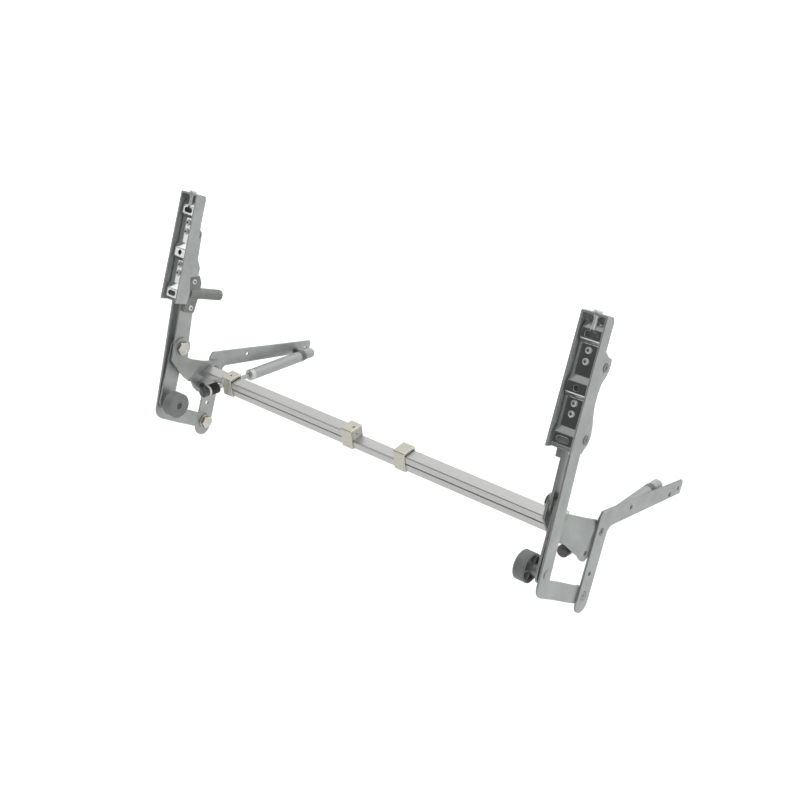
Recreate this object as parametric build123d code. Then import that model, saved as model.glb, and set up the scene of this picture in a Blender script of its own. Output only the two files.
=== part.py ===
from build123d import *
import os
from math import atan2, cos, degrees, hypot, radians, sin

# Lift-up door mechanism for a wall cabinet: two mirrored sides joined by a telescoping bar.
# Millimetres. X runs across the cabinet, Y runs back into it, Z is up.
# The origin is midway between the cabinet walls, on the line through the two front screw holes.
# The rest pose is the open door. A side is drawn at the left wall, where X is the depth from the
# wall, and the right side is its mirror image.

# Overall
cabinet_width = 600.0
plate_thickness = 2.5
wall_gap = 0.15
turn_clearance = 0.05
slide_clearance = 0.06

# Linkage, as steps back (Y) and up (Z) between pivot centres
arm_pivot_drop = 25.0
pivot_spacing = 72.0
lever_reach_y = -82.0
lever_reach_z = 32.5
link_reach_y = -10.0
link_reach_z = 144.0
stud_reach_y = -18.0
stud_reach_z = -23.0
strut_anchor_y = 152.0
strut_anchor_z = 75.5

# Depths of the plates from the cabinet wall, to each plate's outboard face
arm_depth = 7.0
tie_depth = 11.5
link_depth = 17.0

# Cabinet bracket
strip_front = -10.5
strip_width = 24.0
strip_foot = 33.0
corner_height = 70.0
corner_cut = 3.0
arm_rise = 21.5
arm_reach = 181.0
arm_root_depth = 20.5
arm_tip_depth = 16.5
screw_hole_radius = 2.75
arm_hole_y = 57.0
arm_hole_z = 69.0
tip_hole_y = 172.5
tip_hole_z = 81.5
tip_hole_radius = 2.2

# Pins, bolts and studs
pivot_pin_radius = 4.0
pivot_head_radius = 4.6
pivot_head_height = 1.7
bolt_radius = 4.0
washer_radius = 9.0
washer_thickness = 1.0
arm_head_radius = 8.6
arm_head_height = 4.9
hinge_head_radius = 9.3
hinge_head_height = 4.6
rivet_radius = 3.5
rivet_head_radius = 5.2
rivet_head_height = 1.2
rivet_groove = 0.35
rivet_groove_depth = 0.8
rivet_dimple_radius = 1.5
heel_rivet_height = 0.5
arm_rivet_radius = 5.0
arm_rivet_height = 1.2
channel_rivet_radius = 4.7
stud_radius = 3.0
stud_foot_radius = 4.6
stud_foot_height = 1.2

# Lever plate
lever_eye_radius = 13.0
lever_hub_radius = 12.5
lever_tip_radius = 9.0
lever_bend_angle = 143.6
lever_bend_start = 11.0
lever_bend_end = 43.5
bend_radius = 3.0

# Links and arm
link_foot_radius = 11.5
link_shoulder_radius = 9.8
link_shoulder_rise = 3.5
link_strap_radius = 6.2
link_head_radius = 7.0
tie_radius = 11.0
arm_width = 19.0
arm_heel_radius = 15.0
arm_heel_inner_radius = 4.0
arm_leg_height = 19.6
arm_leg_slope = -0.215
arm_bend_angle = 166.2
arm_step_start = 24.0
arm_step_end = 52.0

# Buffer
buffer_radius = 16.0
buffer_length = 13.5
buffer_depth = 24.5
buffer_wall = 2.0
buffer_face = 3.0
buffer_hub_radius = 5.5
buffer_rib_count = 6
buffer_rib_width = 1.6
buffer_edge = 1.0
buffer_screw_radius = 2.5
buffer_screw_head_radius = 3.6

# Door channel
channel_depth = 0.5
channel_width = 29.0
channel_wall = 2.0
channel_front = 22.5
channel_top = 49.0
channel_foot = 14.0
web_back = 10.5
top_flange_back = 11.5
channel_round = 0.8

# Height adjuster
adjuster_thickness = 2.0
adjuster_rise = 4.4
adjuster_width = 22.0
adjuster_bend = 2.2
upper_ramp = 7.0
lower_ramp = 4.5
bridge_ends = ((32.5, 23.5), (-19.5, -29.5), (-70.5, -81.0))
slot_height = 6.2
slot_width = 13.5
middle_hole_radius = 3.0
clamp_screw_heights = (12.9, 1.9, -39.5, -50.1)
clamp_screw_radius = 2.0
clamp_head_radius = 3.4
clamp_head_height = 1.8
clamp_slot_travel = 1.6
height_screw_radius = 2.5
height_head_radius = 4.6
height_head_height = 3.0
height_screw_foot = 33.0

# Damper
housing_drop = 49.5
housing_length = 47.5
housing_front = 9.6
housing_back = 13.0
housing_thickness = 6.4
housing_screw_radius = 1.8
housing_head_radius = 3.4
housing_head_height = 1.4
housing_screw_drop = 8.0
housing_screw_rise = 6.0
damper_drop = 23.2
damper_radius = 6.9
damper_depth = 20.4
damper_shell = 0.6
damper_start = 13.0
damper_end = 54.0
plunger_radius = 5.5
plunger_stroke = 3.0

# Gas strut
strut_depth = 22.0
strut_tube_radius = 7.5
strut_wall = 1.0
strut_tube_front = 71.0
strut_rod_radius = 3.0
strut_rod_root = 5.0
piston_length = 6.0
piston_inset = 20.0
socket_radius = 6.9
socket_start = -3.4
socket_end = 8.0
ring_radius = 7.2
ring_start = -6.6
cap_start = -15.3
cap_round = 3.0
tail_radius = 6.8
tail_neck_radius = 6.2
tail_neck_start = -12.0
tail_start = -2.0
tail_end = 14.0
open_pivot_gap = 0.3

# Telescoping bar, as a pair of stacked tubes
bar_y = -18.0
bar_z = -4.8
bar_tilt = 28.0
bar_width = 17.0
bar_height = 10.0
bar_wall = 1.2
bar_corner = 1.5
bar_joint_gap = 0.06
bar_rebate_depth = 1.6
bar_rebate_height = 0.45
left_bar_end = -24.0
right_bar_end = 48.5
low_bar_left_gap = 50.0
low_bar_right_gap = 32.0
plug_length = 24.0
clip_wall = 1.5
clip_headroom = 1.3
clip_roof = 3.0
clip_corner = 1.2
clip_edge = 0.3
clip_length = 16.5
left_clip_gap = 59.5
right_clip_gap = 42.0
inner_clip_centres = (-32.0, 49.5)
clip_screw_radius = 1.6
clip_screw_offsets = (0.0, 4.2, None, 0.0)

# Pivot centres in the (Y, Z) plane of a side
ARM_PIVOT = (0.0, -arm_pivot_drop)
LIFT_PIVOT = (0.0, pivot_spacing - arm_pivot_drop)
HINGE = (lever_reach_y, LIFT_PIVOT[1] + lever_reach_z)
HEEL = (lever_reach_y, ARM_PIVOT[1] + lever_reach_z)
UPPER = (HINGE[0] + link_reach_y, HINGE[1] + link_reach_z)
LOWER = (HEEL[0] + link_reach_y, HEEL[1] + link_reach_z)
STUD = (stud_reach_y, LIFT_PIVOT[1] + stud_reach_z)
ANCHOR = (strut_anchor_y, strut_anchor_z)
BAR = (bar_y, LIFT_PIVOT[1] + bar_z)

# Depths that follow from the stack of plates
lever_depth = plate_thickness + wall_gap
lever_face = lever_depth + plate_thickness
lever_front_depth = link_depth + plate_thickness
lever_front_face = lever_front_depth + plate_thickness
arm_face = arm_depth + plate_thickness
tie_face = tie_depth + plate_thickness
arm_step_depth = arm_depth - lever_depth

# Heights above the hinge, and ends that follow from the cabinet's width
housing_top = link_reach_z - housing_drop
housing_foot = housing_top - housing_length
damper_height = housing_top - damper_drop
half_cabinet = cabinet_width / 2
clip_centres = (left_clip_gap - half_cabinet, *inner_clip_centres, half_cabinet - right_clip_gap)
sheet_reach = 2 * (link_reach_z - lever_reach_y)


def moved(at, shape):
    return Pos(at[0], at[1]) * shape


def slab(outline, start, stop):
    """Extrude a (Y, Z) outline from one depth to another."""
    return extrude(Plane.YZ.offset(start) * outline, stop - start)


def pin(at, radius, start, stop):
    return slab(moved(at, Circle(radius)), start, stop)


def rivet_marks(at, radius, face):
    """What closing a rivet leaves in its flush end: a groove round it and a dimple at its centre."""
    groove = pin(at, radius + rivet_groove, face - 1, face + rivet_groove_depth)
    groove -= pin(at, radius - rivet_groove, face - 1, face + rivet_groove_depth)
    return groove + pin(at, rivet_dimple_radius, face - 1, face + rivet_groove_depth)


def hexagon(at, radius, start, stop):
    head = slab(moved(at, RegularPolygon(radius, 6, rotation=12)), start, stop)
    return head & chamfer(pin(at, radius, start, stop).edges().group_by(Axis.X)[-1], 0.12 * radius)


def taper(first, first_radius, second, second_radius):
    """Outline of a link: two circles and the tangent lines that join them."""
    dy, dz = second[0] - first[0], second[1] - first[1]
    length = hypot(dy, dz)
    along = (dy / length, dz / length)
    lean = (first_radius - second_radius) / length
    rise = (1 - lean * lean) ** 0.5
    corners = []
    for hand in (1, -1):
        normal = (lean * along[0] - hand * rise * along[1], lean * along[1] + hand * rise * along[0])
        pair = [(c[0] + r * normal[0], c[1] + r * normal[1])
                for c, r in ((first, first_radius), (second, second_radius))]
        corners += pair if hand > 0 else pair[::-1]
    body = make_face(Polyline(*corners, close=True))
    return body + moved(first, Circle(first_radius)) + moved(second, Circle(second_radius))


def stepped(origin, angle, path, half_width):
    """Sheet bent along a path of (along, depth) points of its middle surface."""
    direction = Vector(0, cos(radians(angle)), sin(radians(angle)))
    normal = Vector(0, sin(radians(angle)), -cos(radians(angle)))
    frame = Plane(origin=(0, *origin), x_dir=direction, z_dir=normal)
    ribbon = trace(FilletPolyline(*path, radius=bend_radius), plate_thickness)
    return extrude(frame * ribbon, half_width, both=True)


def behind_step(origin, angle, path, half_width):
    """Everything outboard of a stepped sheet's inboard face, to trim what lands on it."""
    direction = Vector(0, cos(radians(angle)), sin(radians(angle)))
    normal = Vector(0, sin(radians(angle)), -cos(radians(angle)))
    frame = Plane(origin=(0, *origin), x_dir=direction, z_dir=normal)
    half = plate_thickness / 2
    slope = atan2(path[2][1] - path[1][1], path[2][0] - path[1][0])
    shift = half * (1 - cos(slope)) / sin(slope)
    faces = [(path[0][0], path[0][1] + half), (path[1][0] - shift, path[1][1] + half),
             (path[2][0] - shift, path[2][1] + half), (path[3][0], path[3][1] + half)]
    floor = [(path[3][0], -20), (path[0][0], -20)]
    return extrude(frame * make_face(Polyline(*faces, *floor, close=True)), half_width, both=True)


# Cabinet bracket and its pivots

def bracket():
    back = strip_front + strip_width
    foot = moved((strip_front + strip_width / 2, -strip_foot), Circle(strip_width / 2))
    slope = arm_rise / (arm_reach - strip_front)
    top = [(strip_front, corner_height - 2 * corner_cut), (strip_front + corner_cut, corner_height),
           (arm_reach - 2.5, corner_height + arm_rise), (arm_reach, corner_height + arm_rise - 4)]
    tip = (arm_reach - 0.5, corner_height + arm_rise - arm_tip_depth)
    root = (back + 5, corner_height + slope * (back - strip_front) - arm_root_depth)
    neck = [(back, root[1] - 6), (back, -strip_foot), (strip_front, -strip_foot)]
    outline = make_face(Polyline(*top, tip, root, *neck, close=True)) + foot
    holes = (Circle(screw_hole_radius) + moved((arm_hole_y, arm_hole_z), Circle(screw_hole_radius))
             + moved((tip_hole_y, tip_hole_z), Circle(tip_hole_radius)))
    plate = slab(outline - holes, 0, plate_thickness)
    for at, radius in ((LIFT_PIVOT, pivot_pin_radius), (ARM_PIVOT, bolt_radius), (ANCHOR, stud_radius)):
        plate -= pin(at, radius, -1, plate_thickness + 1) + rivet_marks(at, radius, 0)
    seat = pin(ARM_PIVOT, arm_rivet_radius, -1, arm_rivet_height)
    return plate - seat - rivet_marks(ARM_PIVOT, arm_rivet_radius, 0)


def lift_pin():
    head_start = lever_face + wall_gap
    head = pin(LIFT_PIVOT, pivot_head_radius, head_start, head_start + pivot_head_height)
    return pin(LIFT_PIVOT, pivot_pin_radius, 0, head_start) + head - rivet_marks(LIFT_PIVOT, pivot_pin_radius, 0)


def arm_bolt():
    start = lever_face + wall_gap
    head = hexagon(ARM_PIVOT, arm_head_radius, start + washer_thickness,
                   start + washer_thickness + arm_head_height)
    washer = pin(ARM_PIVOT, washer_radius, start, start + washer_thickness)
    flush = pin(ARM_PIVOT, arm_rivet_radius, 0, arm_rivet_height) - rivet_marks(ARM_PIVOT, arm_rivet_radius, 0)
    return pin(ARM_PIVOT, bolt_radius, rivet_groove_depth, start + washer_thickness) + flush + washer + head


def anchor_stud():
    stop = strut_depth - tail_radius - open_pivot_gap
    foot = pin(ANCHOR, stud_foot_radius, plate_thickness, plate_thickness + stud_foot_height)
    return pin(ANCHOR, stud_radius, 0, stop) + foot - rivet_marks(ANCHOR, stud_radius, 0)


# Lever, links and arm

LEVER_PATH = [(-sheet_reach, lever_depth + plate_thickness / 2), (lever_bend_start, lever_depth + plate_thickness / 2),
              (lever_bend_end, lever_front_depth + plate_thickness / 2),
              (sheet_reach, lever_front_depth + plate_thickness / 2)]


def lever_outline():
    hub_y, hub_z = LIFT_PIVOT
    eye_y, eye_z = HINGE
    neck_top = (hub_y - 50, hub_z + 17.0)
    neck_low = (hub_y - 48, hub_z - 13.5)
    rear = make_face(Polyline(neck_top, (hub_y - 21, hub_z + 13.5), (hub_y - 3, hub_z + 12.1),
                              (hub_y + 11, hub_z - 5.5), (STUD[0] + 7.2, STUD[1] - 5.2),
                              (STUD[0] - 5.8, STUD[1] - 7.6), neck_low, close=True))
    front = make_face(Polyline(neck_top, neck_low, (hub_y - 57, hub_z - 12.2), (hub_y - 67.5, hub_z - 6.8),
                               (eye_y + 1.5, eye_z - 29.8), (eye_y - 12.4, eye_z - 17.0),
                               (eye_y - 12.9, eye_z - 2), (eye_y + 11.6, eye_z - 5.5),
                               (eye_y + 12.8, eye_z - 12.3), (eye_y + 21.5, eye_z - 14.8), close=True))
    outline = rear + front + moved(LIFT_PIVOT, Circle(lever_hub_radius)) + moved(HINGE, Circle(lever_eye_radius))
    return outline + moved(STUD, Circle(lever_tip_radius))


def lever_plate():
    sheet = stepped(LIFT_PIVOT, lever_bend_angle, LEVER_PATH, sheet_reach)
    plate = sheet & slab(lever_outline(), -5, 40)
    plate -= pin(LIFT_PIVOT, pivot_pin_radius + turn_clearance, -5, 40)
    plate -= pin(STUD, stud_radius, -5, 12) + rivet_marks(STUD, stud_radius, lever_depth)
    return plate - pin(HINGE, bolt_radius, 10, 40)


def upper_link():
    shoulder = along_link(housing_top + link_shoulder_rise)
    outline = taper(HINGE, link_foot_radius, shoulder, link_shoulder_radius)
    outline += taper(shoulder, link_strap_radius, UPPER, link_head_radius)
    plate = slab(outline, link_depth, lever_front_depth)
    plate -= pin(HINGE, bolt_radius, 10, 40) + pin(UPPER, rivet_radius + turn_clearance, 10, 40)
    for height in housing_screw_heights():
        plate -= pin(along_link(height), housing_screw_radius, 10, 40)
    return plate


def housing_screw_heights():
    return (housing_top - housing_screw_drop, housing_foot + housing_screw_rise)


def along_link(height):
    """Point on the upper link's centre line at a height above the hinge."""
    return (HINGE[0] + link_reach_y * height / link_reach_z, HINGE[1] + height)


def hinge_bolt():
    shank = pin(HINGE, bolt_radius, tie_depth - wall_gap, lever_front_face)
    rivet = pin(HINGE, rivet_head_radius + 1, tie_depth - wall_gap - rivet_head_height, tie_depth - wall_gap)
    spacer = pin(HINGE, washer_radius - 1, tie_face + wall_gap, link_depth)
    head = hexagon(HINGE, hinge_head_radius, lever_front_face, lever_front_face + hinge_head_height)
    return shank + rivet + spacer + head


def stud_bolt():
    stop = strut_depth
    foot = pin(STUD, stud_foot_radius, lever_face, lever_face + stud_foot_height)
    return pin(STUD, stud_radius, lever_depth, stop) + foot - rivet_marks(STUD, stud_radius, lever_depth)


def tie_link():
    plate = slab(taper(HINGE, tie_radius, HEEL, tie_radius), tie_depth, tie_face)
    return plate - pin(HINGE, bolt_radius + turn_clearance, 0, 30) - pin(HEEL, rivet_radius, 0, 30)


def heel_pin():
    start = arm_depth - wall_gap
    rivet = pin(HEEL, rivet_head_radius, start - heel_rivet_height, start)
    spacer = pin(HEEL, rivet_head_radius + 1.5, arm_face + wall_gap, tie_depth)
    post = pin(HEEL, buffer_hub_radius, tie_face, buffer_depth)
    core = pin(HEEL, buffer_screw_radius - 0.9, buffer_depth, buffer_depth + 4)
    return pin(HEEL, rivet_radius, start, tie_face) + rivet + spacer + post - core


def j_arm():
    half = arm_width / 2
    heel_y, heel_z = HEEL
    slope = arm_leg_slope
    low = (ARM_PIVOT[0], ARM_PIVOT[1] - arm_leg_height / 2 - 0.6)
    high = (ARM_PIVOT[0], ARM_PIVOT[1] + arm_leg_height / 2 - 0.6)
    inner = (heel_y + half, high[1] + slope * (heel_y + half))
    outer = (heel_y - half, low[1] + slope * (heel_y - half))
    leg = make_face(Polyline(low, high, inner, outer, close=True))
    upright = make_face(Polyline((LOWER[0] - half, LOWER[1]), (LOWER[0] + half, LOWER[1]), inner, outer, close=True))
    outline = fillet((leg + upright).vertices().sort_by_distance((*outer, 0))[0], arm_heel_radius)
    outline = fillet(outline.vertices().sort_by_distance((*inner, 0))[0], arm_heel_inner_radius)
    outline += moved(LOWER, Circle(half)) + moved(ARM_PIVOT, Circle(arm_leg_height / 2 - 0.3))
    middle = lever_depth + plate_thickness / 2
    path = [(-sheet_reach, middle), (arm_step_start, middle), (arm_step_end, middle + arm_step_depth),
            (sheet_reach, middle + arm_step_depth)]
    sheet = stepped(ARM_PIVOT, arm_bend_angle, path, sheet_reach)
    plate = sheet & slab(outline, -5, 40)
    plate -= pin(ARM_PIVOT, bolt_radius + turn_clearance, -5, 40)
    return plate - pin(HEEL, rivet_radius + turn_clearance, -5, 40) - pin(LOWER, rivet_radius + turn_clearance, -5, 40)


# Buffer at the heel

def buffer():
    inner_face = buffer_depth + buffer_length
    body = pin(HEEL, buffer_radius, buffer_depth, inner_face)
    body = chamfer(body.edges().group_by(Axis.X)[-1], buffer_edge)
    body -= pin(HEEL, buffer_radius - buffer_wall, buffer_depth - 1, inner_face - buffer_face)
    body += pin(HEEL, buffer_hub_radius, buffer_depth, inner_face - buffer_face)
    for step in range(buffer_rib_count):
        rib = Rot(0, 0, 360 / buffer_rib_count * step + 10) * Pos(buffer_radius / 2, 0) * Rectangle(
            buffer_radius - buffer_wall, buffer_rib_width)
        body += slab(moved(HEEL, rib), buffer_depth, inner_face - buffer_face) & pin(
            HEEL, buffer_radius - 0.5, buffer_depth, inner_face)
    body -= pin(HEEL, buffer_screw_radius + 0.2, buffer_depth - 1, inner_face + 1)
    return body - pin(HEEL, buffer_screw_head_radius + 0.4, inner_face - 2.2, inner_face + 1)


def buffer_screw():
    inner_face = buffer_depth + buffer_length
    head = pin(HEEL, buffer_screw_head_radius, inner_face - 2.2, inner_face - 0.4)
    recess = slab(moved(HEEL, Rectangle(4.4, 1.0) + Rectangle(1.0, 4.4)), inner_face - 1.4, inner_face)
    thread = pin(HEEL, buffer_screw_radius - 0.9, buffer_depth, buffer_depth + 4)
    return head + pin(HEEL, buffer_screw_radius, buffer_depth + 4, inner_face - 2.2) + thread - recess


# Door channel with its pivots

def channel_side(rear):
    """Side wall outline: straight front edge and a wavy rear edge of (back, height) points."""
    front = UPPER[0] - channel_front
    top = UPPER[1] + channel_top
    foot = LOWER[1] - channel_foot
    edge = [(UPPER[0] + y, UPPER[1] + z) for y, z in rear]
    corners = [(front, foot), (front, top), (edge[0][0] - 3, top), *edge, (edge[-1][0] - 2, foot)]
    outline = make_face(Polyline(*corners, close=True))
    return fillet(outline.vertices().sort_by(Axis.X)[2:], channel_round)


OUTER_REAR = [(-10, 48.5), (-7.4, 43.6), (-7.4, 15.4), (1.1, 10.5), (8.4, 8.8), (10, 3), (9.5, -2), (6.6, -9.2),
              (1.5, -15), (-0.7, -25), (-0.5, -37), (1.3, -44.5), (3.6, -51), (6.5, -58), (8.5, -66), (8.7, -71),
              (7, -77), (2, -82)]
INNER_REAR = [(-8.3, 48.6), (-7, 44), (-7, 16), (-6.2, 5), (-5.6, -10), (-3.8, -23), (1, -31.5), (5.6, -39.5),
              (5.4, -49.5), (-7.5, -52), (-3.4, -72), (-4.8, -86)]


def door_channel():
    start, stop = channel_depth, channel_depth + channel_width
    outer = slab(channel_side(OUTER_REAR), start, start + channel_wall)
    inner = slab(channel_side(INNER_REAR), stop - channel_wall, stop)
    front = UPPER[0] - channel_front
    web = UPPER[0] - web_back - channel_wall
    top, foot = UPPER[1] + channel_top, LOWER[1] - channel_foot
    middle = (start + stop) / 2
    back = Pos(middle, web + channel_wall / 2, (top + foot) / 2) * Box(channel_width - 2, channel_wall, top - foot)
    length = UPPER[0] - top_flange_back - front
    flange = Pos(middle, front + length / 2, top - channel_wall / 2) * Box(channel_width - 2, length, channel_wall)
    body = outer + inner + back + flange
    screw_y = height_screw_y()
    body -= Pos(middle, screw_y, top) * Cylinder(height_screw_radius + 0.1, 10)
    for z in clamp_heights():
        body -= Pos(middle, web, z) * Rot(90, 0, 0) * Cylinder(clamp_screw_radius, 12)
    body -= pin(UPPER, rivet_radius, 0, start + channel_wall)
    return body - pin(LOWER, rivet_radius, 0, start + channel_wall)


def height_screw_y():
    return UPPER[0] - web_back - channel_wall - adjuster_thickness - adjuster_rise / 2


def clamp_heights():
    """Heights of the two pairs of clamp screws, in the low parts of the adjuster."""
    return [UPPER[1] + height for height in clamp_screw_heights]


def channel_rivet_end(at):
    """Low round head outside the channel's wall, with a dimple."""
    head = pin(at, channel_rivet_radius, 0, channel_depth)
    return head - pin(at, rivet_dimple_radius, -1, channel_depth * 0.8)


def channel_rivets():
    start = channel_depth
    upper = pin(UPPER, rivet_radius, start, lever_front_depth + wall_gap) + channel_rivet_end(UPPER)
    upper += pin(UPPER, rivet_head_radius, start + channel_wall, link_depth - wall_gap)
    upper += pin(UPPER, rivet_head_radius, lever_front_depth + wall_gap,
                 lever_front_depth + wall_gap + rivet_head_height)
    lower = pin(LOWER, rivet_radius, start, arm_face + wall_gap) + channel_rivet_end(LOWER)
    lower += pin(LOWER, rivet_head_radius, start + channel_wall, arm_depth - wall_gap)
    lower += pin(LOWER, rivet_head_radius, arm_face + wall_gap, arm_face + wall_gap + rivet_head_height)
    return upper, lower


def clamp_screws():
    middle = channel_depth + channel_width / 2
    web = UPPER[0] - web_back - channel_wall
    face = web - adjuster_thickness - 0.05
    screws = []
    for z in clamp_heights():
        turn = Rot(90, 0, 0)
        shank = Pos(middle, (web + channel_wall + face) / 2, z) * turn * Cylinder(
            clamp_screw_radius, web + channel_wall - face)
        head = Pos(middle, face - clamp_head_height / 2, z) * turn * Cylinder(clamp_head_radius, clamp_head_height)
        head = fillet(head.edges().group_by(Axis.Y)[0], clamp_head_height * 0.55)
        cross = Pos(middle, face - clamp_head_height, z) * (Box(0.9, 2, 4.2) + Box(4.2, 2, 0.9))
        screws.append(shank + head - cross)
    return screws


def height_screw():
    middle = channel_depth + channel_width / 2
    top = UPPER[1] + channel_top
    y = height_screw_y()
    low = UPPER[1] + height_screw_foot
    head = Pos(middle, y, top + height_head_height / 2) * Cylinder(height_head_radius, height_head_height)
    head = fillet(head.edges().group_by(Axis.Z)[-1], height_head_height * 0.5)
    head -= Pos(middle, y, top + height_head_height) * (Box(1.1, 5.4, 2.6) + Box(5.4, 1.1, 2.6))
    shank = Pos(middle, y, (top + low) / 2) * Cylinder(height_screw_radius, top - low)
    ring = Pos(middle, y, top - channel_wall - 0.9) * Cylinder(height_screw_radius + 1.2, 1.6)
    return head + shank + ring


def adjuster_plate():
    """Stepped strip: three raised bridges with slots, and low parts that the clamp screws hold."""
    middle = channel_depth + channel_width / 2
    low = UPPER[0] - web_back - channel_wall - adjuster_thickness / 2 - 0.02
    high = low - adjuster_rise
    top = bridge_ends[0][0] + upper_ramp
    path = [(low, top + 1.5)]
    for start, stop in bridge_ends:
        path += [(low, start + upper_ramp), (high, start), (high, stop), (low, stop - lower_ramp)]
    points = [(y, UPPER[1] + z) for y, z in path[:-1]]
    ribbon = trace(FilletPolyline(*points, radius=adjuster_bend), adjuster_thickness)
    body = extrude(Plane.YZ.offset(middle - adjuster_width / 2) * ribbon, adjuster_width)
    for index, (start, stop) in enumerate(bridge_ends):
        z = UPPER[1] + (start + stop) / 2
        hole = Circle(middle_hole_radius) if index == 1 else SlotOverall(slot_width, slot_height)
        body -= extrude(Plane.XZ.offset(-high + adjuster_thickness) * Pos(middle, z) * hole, -3 * adjuster_thickness)
    length = 2 * (clamp_screw_radius + 0.1 + clamp_slot_travel)
    for z in clamp_heights():
        slot = SlotOverall(length, 2 * clamp_screw_radius + 0.2, rotation=90)
        body -= extrude(Plane.XZ.offset(-low - adjuster_thickness) * Pos(middle, z) * slot, 2 * adjuster_thickness)
    return body - Pos(middle, height_screw_y(), UPPER[1] + top - upper_ramp / 2) * Cylinder(
        height_screw_radius + turn_clearance, 3 * upper_ramp)


# Damper on the upper link

def damper_housing(with_damper):
    top, foot = along_link(housing_top), along_link(housing_foot)
    points = [(top[0] - housing_front, top[1]), (top[0] + housing_back - 5, top[1]),
              (top[0] + housing_back, top[1] - 9), (top[0] + housing_back, top[1] - 22),
              (foot[0] + 6.5, foot[1]), (foot[0] - housing_front, foot[1])]
    outline = make_face(Polyline(*points, close=True))
    outline = fillet(outline.vertices(), 1.5)
    body = slab(outline, lever_front_depth, lever_front_depth + housing_thickness)
    at = along_link(damper_height)
    if with_damper:
        start, stop = at[0] - 3, at[0] + damper_start
        body += Pos(damper_depth, (start + stop) / 2, at[1]) * Rot(90, 0, 0) * Cylinder(damper_radius + damper_shell, stop - start)
        body &= Pos(lever_front_depth + sheet_reach / 2, *at) * Box(sheet_reach, sheet_reach, sheet_reach)
        body -= Pos(damper_depth, (at[0] + stop) / 2 + 2, at[1]) * Rot(90, 0, 0) * Cylinder(damper_radius, stop - at[0] + 4)
    for height in housing_screw_heights():
        body -= pin(along_link(height), housing_screw_radius, 10, 40)
    return body


def housing_screws():
    screws = []
    for height in housing_screw_heights():
        at = along_link(height)
        face = lever_front_depth + housing_thickness
        head = pin(at, housing_head_radius, face, face + housing_head_height)
        head = chamfer(head.edges().group_by(Axis.X)[-1], 0.5)
        cross = slab(moved(at, Rectangle(3.6, 0.9) + Rectangle(0.9, 3.6)), face + 0.5, face + 3)
        screws.append(pin(at, housing_screw_radius, link_depth, face) + head - cross)
    return screws


def damper_cylinder():
    at = along_link(damper_height)
    start, stop = at[0] + 0.0, at[0] + damper_end - plunger_stroke
    body = Pos(damper_depth, (start + stop) / 2, at[1]) * Rot(90, 0, 0) * Cylinder(damper_radius, stop - start)
    body = chamfer(body.edges().group_by(Axis.Y)[-1], 0.6)
    beside_link = Pos(lever_front_depth + sheet_reach / 2, *at) * Box(sheet_reach, sheet_reach, sheet_reach)
    behind_link = Pos(damper_depth, at[0] + damper_start + sheet_reach / 2, at[1]) * Box(
        sheet_reach, sheet_reach, sheet_reach)
    body &= beside_link + behind_link
    bore = Pos(damper_depth, stop - 9, at[1]) * Rot(90, 0, 0) * Cylinder(plunger_radius + slide_clearance, 18.2)
    return body - bore


def damper_plunger():
    at = along_link(damper_height)
    stop = at[0] + damper_end
    body = Pos(damper_depth, stop - 8, at[1]) * Rot(90, 0, 0) * Cylinder(plunger_radius, 14)
    return fillet(body.edges().group_by(Axis.Y)[-1], 2.4)


# Gas strut, drawn along its own axis from the stud on the lever to the anchor

STRUT_LENGTH = hypot(ANCHOR[0] - STUD[0], ANCHOR[1] - STUD[1])
STRUT_ANGLE = degrees(atan2(ANCHOR[1] - STUD[1], ANCHOR[0] - STUD[0]))


def on_strut(shape):
    """Place a shape drawn along +X from the origin onto the strut's line."""
    frame = Plane(origin=(strut_depth, *STUD), x_dir=(0, cos(radians(STRUT_ANGLE)), sin(radians(STRUT_ANGLE))),
                  z_dir=(1, 0, 0))
    return frame * shape


def round_bar(radius, start, stop):
    return Pos((start + stop) / 2, 0, 0) * Rot(0, 90, 0) * Cylinder(radius, stop - start)


def strut_rod():
    piston_start = strut_tube_front + piston_inset
    piston = round_bar(strut_tube_radius - strut_wall - slide_clearance, piston_start, piston_start + piston_length)
    return on_strut(round_bar(strut_rod_radius, strut_rod_root, piston_start) + piston)


def rod_socket():
    """Knurled collar that turns on the lever's stud and holds the rod."""
    body = round_bar(socket_radius, socket_start, socket_end)
    body = chamfer(body.edges().group_by(Axis.X)[-1], 1.0)
    pocket = Pos(0, 0, -socket_radius) * Cylinder(stud_radius + turn_clearance, 2 * socket_radius)
    return on_strut(body - pocket - round_bar(strut_rod_radius, strut_rod_root, socket_end + 1))


def rod_ring():
    return on_strut(round_bar(ring_radius, ring_start, socket_start))


def rod_cap():
    body = round_bar(socket_radius, cap_start, ring_start)
    return on_strut(fillet(body.edges().group_by(Axis.X)[0], cap_round))


def strut_tube():
    rear = STRUT_LENGTH + tail_neck_start
    body = round_bar(strut_tube_radius, strut_tube_front, rear)
    body = fillet(body.edges().group_by(Axis.X)[-1] + body.edges().group_by(Axis.X)[0], 1.2)
    body -= round_bar(strut_tube_radius - strut_wall, strut_tube_front + 3, rear - 3)
    return on_strut(body - round_bar(strut_rod_radius + slide_clearance, strut_tube_front - 1, strut_tube_front + 5))


def strut_tail():
    cap = round_bar(tail_radius, STRUT_LENGTH + tail_start, STRUT_LENGTH + tail_end)
    cap = fillet(cap.edges().group_by(Axis.X)[-1], cap_round)
    neck = round_bar(tail_neck_radius, STRUT_LENGTH + tail_neck_start, STRUT_LENGTH + tail_start)
    return on_strut(cap + neck)


# Telescoping bar and its clips

def bar_frame(x):
    tilt = radians(bar_tilt)
    return Plane(origin=(x, *BAR), x_dir=(0, cos(tilt), sin(tilt)), z_dir=(1, 0, 0))


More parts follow.
